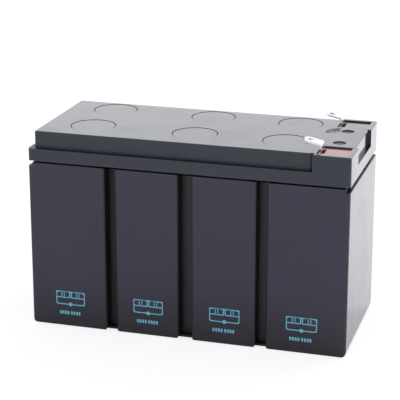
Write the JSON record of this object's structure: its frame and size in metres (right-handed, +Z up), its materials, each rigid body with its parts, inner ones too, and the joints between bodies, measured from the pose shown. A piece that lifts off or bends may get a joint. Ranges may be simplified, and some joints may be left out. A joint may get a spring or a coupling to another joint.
{
  "type": "sealed battery block",
  "caption": "Sealed lead-acid battery block for a UPS: ribbed black case with front panels, two-tier lid, vent discs and push-on blade terminals.",
  "frame": {"origin": "middle of the base, on the surface that the block stands on", "axes": "+X along the length towards the terminals, +Y from the front panels to the back, +Z up"},
  "size_m": [0.151, 0.065, 0.0991],
  "materials": {
    "jar_plastic": "satin black moulded plastic",
    "panel_plastic": "fine matt black plastic with a violet cast",
    "lid_plastic": "smooth black moulded plastic with a soft gloss",
    "valve_rubber": "soft black rubber",
    "tinned_brass": "bright tin plating",
    "red_plastic": "glossy red plastic",
    "black_plastic": "glossy black plastic",
    "seal_resin": "poured black resin",
    "lead": "dull cast lead",
    "positive_paste": "brown pasted plate on a lead grid",
    "glass_mat": "white absorbent glass mat"
  },
  "bodies": {
    "root": {"container": "jar_plastic", "lid": "lid_plastic", "front_panel_1": "panel_plastic", "front_panel_2": "panel_plastic", "front_panel_3": "panel_plastic", "front_panel_4": "panel_plastic", "vent_cover_1": "lid_plastic", "valve_cap_1": "valve_rubber", "positive_plates_1": "positive_paste", "negative_plates_1": "lead", "separators_1": "glass_mat", "vent_cover_2": "lid_plastic", "valve_cap_2": "valve_rubber", "positive_plates_2": "positive_paste", "negative_plates_2": "lead", "separators_2": "glass_mat", "vent_cover_3": "lid_plastic", "valve_cap_3": "valve_rubber", "positive_plates_3": "positive_paste", "negative_plates_3": "lead", "separators_3": "glass_mat", "vent_cover_4": "lid_plastic", "valve_cap_4": "valve_rubber", "positive_plates_4": "positive_paste", "negative_plates_4": "lead", "separators_4": "glass_mat", "vent_cover_5": "lid_plastic", "valve_cap_5": "valve_rubber", "positive_plates_5": "positive_paste", "negative_plates_5": "lead", "separators_5": "glass_mat", "vent_cover_6": "lid_plastic", "valve_cap_6": "valve_rubber", "positive_plates_6": "positive_paste", "negative_plates_6": "lead", "separators_6": "glass_mat", "cell_link_1": "lead", "cell_link_2": "lead", "cell_link_3": "lead", "cell_link_4": "lead", "cell_link_5": "lead", "positive_tab": "tinned_brass", "positive_insert": "red_plastic", "positive_post_seal": "seal_resin", "negative_tab": "tinned_brass", "negative_insert": "black_plastic", "negative_post_seal": "seal_resin"}
  },
  "joints": []
}
